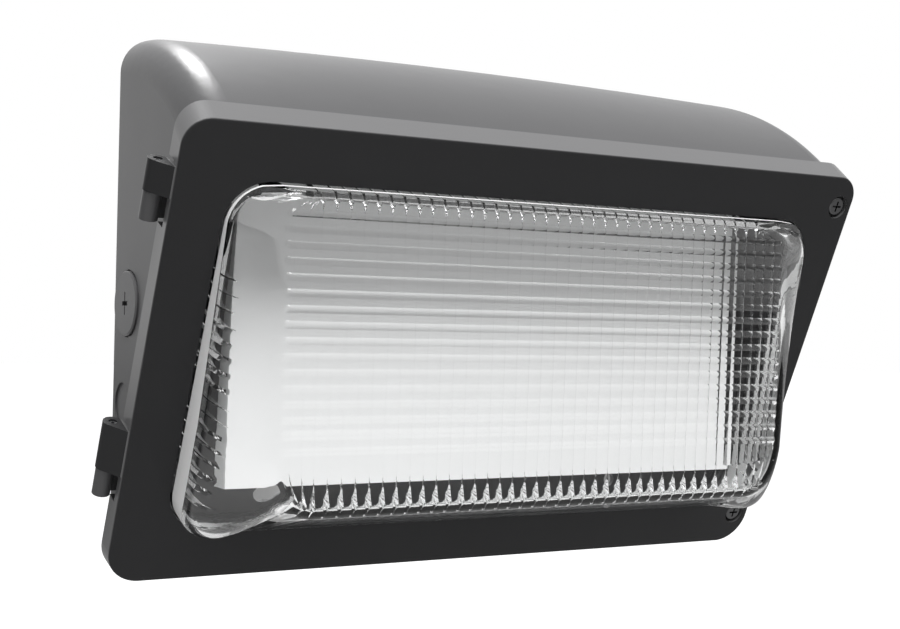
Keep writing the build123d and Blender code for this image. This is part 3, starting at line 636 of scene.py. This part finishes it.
def lensRows():
    # Rows from the bottom up, as heights on the slope of the door: the feet and crests of the side ridges,
    # and the steps across the bars. Past the straight sides they go on as length round the corners.
    corner = lens["openingCorner"] * lens["cornerTurn"]
    low = lens["openingLow"] + lens["openingCorner"]
    high = lens["openingHigh"] - lens["openingCorner"]
    ends = np.array([low - corner, low, lens["lowRows"], high, high + corner])
    levels = np.array([lens["edgeHeight"][0], *lens["rowLevels"], lens["edgeHeight"][1]])

    pitch = lens["sidePitch"]
    crests = (np.arange(math.ceil(low / pitch), math.floor(lens["sideTop"] / pitch)) + 0.5) * pitch
    ridges = (crests[:, None] + np.array([-1, 0, 1]) * lens["sideHalfWidth"]).ravel()
    share = np.concatenate([np.linspace(0, 0.5, lens["barSteps"] + 1), [lens["nextBar"]]])
    bars = lens["barTop"] - ((np.arange(lens["bars"])[:, None] + share) * lens["barPitch"]).ravel()
    bars = np.interp(bars[:-1], levels, ends)
    lowSteps, highSteps = lens["cornerSteps"]
    lowArc = low - np.linspace(0, corner, lowSteps)
    highArc = high + corner * np.sin(np.linspace(lens["cornerStart"], math.pi / 2, highSteps))
    fill = np.arange(low, lens["lowRows"], lens["rowPitch"])

    places = np.unique(np.round(np.concatenate([ridges, bars, lowArc, highArc, fill]), 6))
    near = np.abs(places[:, None] - ridges[None, :]).min(axis=1)
    places = places[(near > lens["leastGap"]) | (near < lens["exact"])]
    crest = np.abs(places[:, None] - crests[None, :]).min(axis=1) < lens["exact"]
    turn = (np.maximum(places - high, 0) - np.maximum(low - places, 0)) / lens["openingCorner"]
    z = np.interp(places, ends, levels)
    return {"up": np.clip(places, low, high), "turn": turn, "z": z, "crest": crest}


columns, rows = lensColumns(), lensRows()


def fanOut(across):
    # 0 for columns up to the straight part's end, rising evenly to 1 at the last column.
    straight = lens["straightHalf"]
    return np.clip((np.abs(across) - straight) / (lens["pastRidges"][-1] - straight), 0, 1)


def barShape():
    # Height of the bars at each row, as a share: an arch over the upper half of each pitch, less
    # further down.
    down = (lens["barTop"] - rows["z"]) / lens["barPitch"]
    within = down % 1
    on = (down > -lens["exact"]) & (down < lens["bars"]) & (within < 0.5)
    fade = np.interp(rows["z"], lens["edgeHeight"], lens["barFade"])
    return fade * np.where(on, arch(np.clip(within * 2, 0, 1)), 0.0)


def frontGrid(half, height, depth, width):
    # The front's points on a grid of rows and columns, on the plane y = y0 + depth - (z - middle)
    # tan(tilt). Its lower corners are squares whose outer corner is pulled in, so that rows and columns
    # fan into them, and its upper ones are level rows that end on the corner's circle.
    centre, foot, _ = columns
    bottom, top = height
    across = centre[None, :] + foot[None, :] * np.reshape(width, (-1, 1))
    fan = fanOut(across)
    zoneTop = lens["edgeHeight"][0] + lens["cornerBottom"]
    share = np.clip((zoneTop - rows["z"]) / lens["cornerBottom"], 0, 1)[:, None]
    topShare = np.clip((rows["z"] - lens["barTop"]) / (lens["edgeHeight"][1] - lens["barTop"]), 0, 1)
    pull = 1 - math.sqrt(0.5)
    z = np.minimum(rows["z"], lens["barTop"]) + topShare * (top - lens["barTop"])
    z = np.where(share > 0, zoneTop - share * (1 - pull * fan ** 2) * (zoneTop - bottom), z[:, None])
    rise = np.clip((z - bottom) / (top - bottom), 0, 1)
    edge = half[0] + (half[1] - half[0]) * rise
    radius = lens["cornerTop"] - (lens["edgeHeight"][1] - top)
    above = np.clip(z - (top - radius), 0, radius)
    edge = edge - radius + np.sqrt(radius ** 2 - above ** 2)
    reach = fan * (1 - pull * share ** 2)
    straight = lens["straightHalf"]
    x = np.sign(across) * (np.minimum(np.abs(across), straight) + reach * (edge - straight))
    middle = sum(lens["edgeHeight"]) / 2
    y = lens["frontY"] + depth - (z - middle) * math.tan(math.radians(lens["frontTilt"]))
    return np.stack([x, y + 0 * x, z + 0 * x], axis=-1)


def rimOf(grid):
    # A grid's border as one closed loop from its lower left corner: along the bottom, up the right and
    # back.
    return np.concatenate([grid[0, :], grid[1:, -1], grid[-1, -2::-1], grid[-2:0:-1, 0]])


def neckLoop(offset, width):
    # The opening's outline moved outward by the offset, as distances across and up: straight sides
    # joined by corners r sin(turn) wide and r (1 - cos(turn)) high. It has a point for each point of
    # the front's rim, and with it the share of the outline's direction there that faces sideways.
    centre, foot, _ = columns
    across = centre + foot * width
    corner = lens["openingCorner"] + offset
    middle = lens["straightHalf"]
    straight = lens["openingHalf"] - lens["openingCorner"] - middle
    run = fanOut(across) * (straight + lens["openingCorner"] * (math.pi / 2 - lens["cornerTurn"]))
    turn = np.maximum(run - straight, 0) / lens["openingCorner"]
    x = np.minimum(np.abs(across), middle) + np.minimum(run, straight) + corner * np.sin(turn)
    x = np.sign(across) * x
    fall = corner * (1 - np.cos(turn))
    low, high = lens["openingLow"] - offset, lens["openingHigh"] + offset
    sideUp = rows["up"] + corner * np.sin(rows["turn"])
    sideX = lens["openingHalf"] + offset - corner * (1 - np.cos(rows["turn"]))
    facing = np.sin(turn) ** 2
    sideFacing = np.cos(rows["turn"]) ** 2
    right, left = slice(1, None), slice(-2, 0, -1)
    x = np.concatenate([x, sideX[right], x[-2::-1], -sideX[left]])
    up = np.concatenate([low + fall, sideUp[right], (high - fall)[-2::-1], sideUp[left]])
    side = np.concatenate([facing, sideFacing[right], facing[-2::-1], sideFacing[left]])
    return x, up, side


def neckPoints(offset, out):
    # The moved outline as points, at a distance out of the door's face.
    x, up, _ = neckLoop(offset, lens["plainWidth"])
    return fromDoor(x, up, out + 0 * x)


def wallLoops(offset, edge, rim, rounding):
    # Loops from the neck to the front's rim: up the collar, up the wall as start + (edge - start) t^n,
    # then the quadratic curve (1 - t)^2 last + 2 t (1 - t) edge + t^2 rim, which rounds the edge. On
    # the sides n is larger, so that the wall's lines leave the collar straight out of the door, and
    # bend only further on.
    x, up, side = neckLoop(offset, lens["plainWidth"])
    foot = neckPoints(offset, 0.0)
    reach = 1 - np.minimum(rounding / np.linalg.norm(edge - foot, axis=1), lens["roundLimit"])
    edgeX, edgeUp, edgeOut = toDoor(edge)
    level = lens["levelCollar"]
    start = np.minimum(lens["collar"] * (level + (1 - level) * side), lens["collarLimit"] * edgeOut)
    bendIn, bendUp = lens["sideBend"]
    loops = [foot]
    for share in np.linspace(0, 1, lens["wallSteps"] + 1):
        t = share * reach
        across = x + (edgeX - x) * t ** (1 + bendIn * side)
        upward = up + (edgeUp - up) * t ** (1 + bendUp * side)
        loops.append(fromDoor(across, upward, start + (edgeOut - start) * t))
    last = loops[-1]
    for t in np.linspace(0, 1, lens["roundSteps"] + 1)[1:-1]:
        loops.append((1 - t) ** 2 * last + 2 * t * (1 - t) * edge + t ** 2 * rim)
    return loops


def ridgedFront(half, height, depth):
    # The inside of the front: each crest stands back by the ridge's height plus the gussets, which also
    # move it up from the bottom and down from the top.
    _, _, crest = columns
    plain = frontGrid(half, height, depth, 0.0)
    low = gusset(np.linalg.norm(plain - plain[:1], axis=-1), lens["gussetBottom"])
    high = gusset(np.linalg.norm(plain - plain[-1:], axis=-1), lens["gussetTop"])
    size = low + high
    width = lens["ridgeHalfWidth"] + lens["flankSlope"] * size.mean(axis=1)
    grid = frontGrid(half, height, depth, width)
    grid[..., 1] += np.where(crest[None, :], lens["ridgeHeight"] + size, 0.0)
    grid[..., 2] += np.where(crest[None, :], low - high, 0.0)
    return grid


def ridgeMasks():
    # For each point of a loop round the lens: is it on the crest of a ridge over the bottom or the top,
    # is it on the top, and is it on the crest of a side ridge.
    _, _, crest = columns
    wide, high = len(crest), len(rows["z"])
    ridged = np.concatenate([crest, np.zeros(high - 1, bool), crest[-2::-1], np.zeros(high - 2, bool)])
    onTop = np.zeros(len(ridged), bool)
    onTop[wide + high - 1:2 * wide + high - 2] = True
    level = np.zeros(wide, bool)
    sideCrest = np.concatenate([level, rows["crest"][1:], level[1:], rows["crest"][-2:0:-1]])
    return ridged, onTop, sideCrest


def ridgedWall(innerWall, outerWall, innerEdge):
    # The inner wall's loops with the ridges added: each crest moves inward by the ridge's height, and
    # near the front's edge by the gusset's size too, back along the wall and away from it.
    ridged, onTop, sideCrest = ridgeMasks()
    plainX, _, side = neckLoop(0.0, lens["plainWidth"])
    reach = np.where(onTop, lens["gussetTop"], lens["gussetBottom"])
    back = innerWall[0] - innerEdge
    spread = back / np.linalg.norm(back, axis=1, keepdims=True)
    spread[:, 2] += np.where(onTop, -1.0, 1.0)
    fadeStart, fadeSlope = lens["sideFade"]
    cut = []
    for number, (innerLoop, outerLoop) in enumerate(zip(innerWall, outerWall)):
        inward = innerLoop - outerLoop
        inward /= np.linalg.norm(inward, axis=1, keepdims=True)
        size = gusset(np.linalg.norm(innerLoop - innerEdge, axis=1), reach)
        along = np.clip((number - 1) / lens["wallSteps"], 0, 1)
        wallRidge = lens["wallRidge"] * np.where(onTop, lens["topRidge"], 1.0)
        base = wallRidge * (1 - along) + lens["ridgeHeight"] * along
        width = lens["ridgeHalfWidth"] + lens["flankSlope"] * (size + base).mean()
        x, _, _ = neckLoop(0.0, width)
        shifted = innerLoop.copy()
        shifted[:, 0] += np.where(side < 0.5, x - plainX, 0.0)
        sideways = lens["sideRidge"] * np.clip(fadeStart - fadeSlope * along, 0, 1)
        depth = np.where(ridged, base, 0.0) + np.where(sideCrest, sideways, 0.0)
        shifted += np.where(ridged, size, 0.0)[:, None] * spread
        cut.append(shifted + inward * depth[:, None])
    return cut


def sheetFaces(shape, first):
    # The quads of a grid of points and its array of point numbers, which start at the first.
    index = first + np.arange(shape[0] * shape[1]).reshape(shape)
    low, high = index[:-1], index[1:]
    return np.stack([low[:, :-1], low[:, 1:], high[:, 1:], high[:, :-1]], axis=-1).reshape(-1, 4), index


def loopFaces(first, second):
    # The quads between two closed loops with as many points each.
    return np.stack([first, np.roll(first, -1), np.roll(second, -1), second], axis=-1)


def joinShell(innerFront, loops, outerFront):
    # One closed shell: the inner front, the loops from its rim round the neck to the outer one, the
    # outer front.
    innerFaces, innerIndex = sheetFaces(innerFront.shape[:2], 0)
    faces = [innerFaces[:, ::-1]]
    last = rimOf(innerIndex)
    first = innerIndex.size
    for loop in loops:
        index = first + np.arange(len(loop))
        faces.append(loopFaces(last, index))
        first += len(loop)
        last = index
    outerFaces, outerIndex = sheetFaces(outerFront.shape[:2], first)
    faces += [loopFaces(last, rimOf(outerIndex)), outerFaces]
    points = np.concatenate([innerFront.reshape(-1, 3), *loops, outerFront.reshape(-1, 3)])
    return points, faces


def buildLens():
    # The closed shell of the lens, its inner surface about a wall's thickness inside the outer one.
    wall, plain = lens["wall"], lens["plainWidth"]
    innerHalf = tuple(half - wall for half in lens["edgeHalf"])
    innerHeight = (lens["edgeHeight"][0] + wall, lens["edgeHeight"][1] - wall)
    lowInset, highInset = lens["innerInset"]
    innerFlat = [lens["innerHalf"], (innerHeight[0] + lowInset, innerHeight[1] - highInset)]

    outerFront = frontGrid(lens["flatHalf"], lens["flatHeight"], 0.0, plain)
    outerRim = rimOf(outerFront)
    barred = (np.abs(columns[0]) < lens["pastRidges"][1])[None, :]
    outerFront[..., 1] -= lens["barHeight"] * barShape()[:, None] * barred
    innerFront = ridgedFront(*innerFlat, wall)
    innerRim = rimOf(frontGrid(*innerFlat, wall, plain))
    outerEdge = rimOf(frontGrid(lens["edgeHalf"], lens["edgeHeight"], 0.0, plain))
    innerEdge = rimOf(frontGrid(innerHalf, innerHeight, wall, plain))

    sideRound = lens["sideRound"] * neckLoop(0.0, plain)[2]
    outerNeck, innerNeck = -lens["gap"], -lens["gap"] - wall
    outerWall = wallLoops(outerNeck, outerEdge, outerRim, lens["outerRound"] + sideRound)
    innerWall = wallLoops(innerNeck, innerEdge, innerRim, lens["innerRound"] + sideRound)
    flange = [
        neckPoints(innerNeck, lens["flangeBack"]),
        neckPoints(lens["flange"], lens["flangeBack"]),
        neckPoints(lens["flange"], lens["flangeFront"]),
        neckPoints(outerNeck, lens["flangeFront"]),
    ]
    inside = ridgedWall(innerWall, outerWall, innerEdge)[::-1]
    points, faces = joinShell(innerFront, inside + flange + outerWall, outerFront)
    bowl = newPiece("prismLens", points, faces, "door", "clearLens", lens["sharpAngle"])
    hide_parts("lens")

    # The collar, between the outer wall's first two loops, is frosted
    bowl.data.materials.append(finishes["frostedLens"])
    collarPart = len(inside) + len(flange) + 2
    frosted = [np.full(len(part), number == collarPart) for number, part in enumerate(faces)]
    bowl.data.polygons.foreach_set("material_index", np.concatenate(frosted).astype(np.int32))
    print("lens made,", len(bowl.data.polygons), "faces")


buildLens()


# CAD nodes and their finishes

nodeFinishes = {
    "housingPaint": ["housing"],
    "doorPaintedShadeAndLight": ["door_frame"],
    "fittingPaint": ["conduit_plug", "photocell_blank"],
    "sealRubber": ["door_seal", "plug_seal", "entry_grommet", "lens_seal"],
    "paintedDarkChrome": ["upper_door_screw", "lower_door_screw"],
    "brightSteel": [
        "tray_standoffs",
        "board_screws",
        "driver_screws",
        "ground_terminal",
        "lens_clips",
        "clip_screws",
    ],
    "blackSteel": ["tray_screws"],
    "pinSteel": ["upper_hinge_pin", "lower_hinge_pin"],
    "whitePaint": ["light_tray", "lower_light_board", "upper_light_board"],
    "whiteDiffuser": ["diffuser"],
    "driverCase": ["driver"],
    "terminalPlastic": ["terminal_block"],
    "brass": ["terminal_screws"],
    "chipYellow": ["light_chips"],
    "groundGreen": ["ground_screw"],
    "nylon": ["led_socket", "screw_retainers"],
    "blackWire": ["black_supply_lead"],
    "whiteWire": ["white_supply_lead"],
    "greenWire": ["ground_lead"],
    "redWire": ["red_led_lead"],
    "blueWire": ["blue_led_lead"],
}


def dressNodes():
    # Each node named in the lists has its finish as its only material.
    for finish, names in nodeFinishes.items():
        for name in names:
            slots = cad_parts[name].data.materials
            slots.clear()
            slots.append(finishes[finish])


dressNodes()
print("nodes dressed")
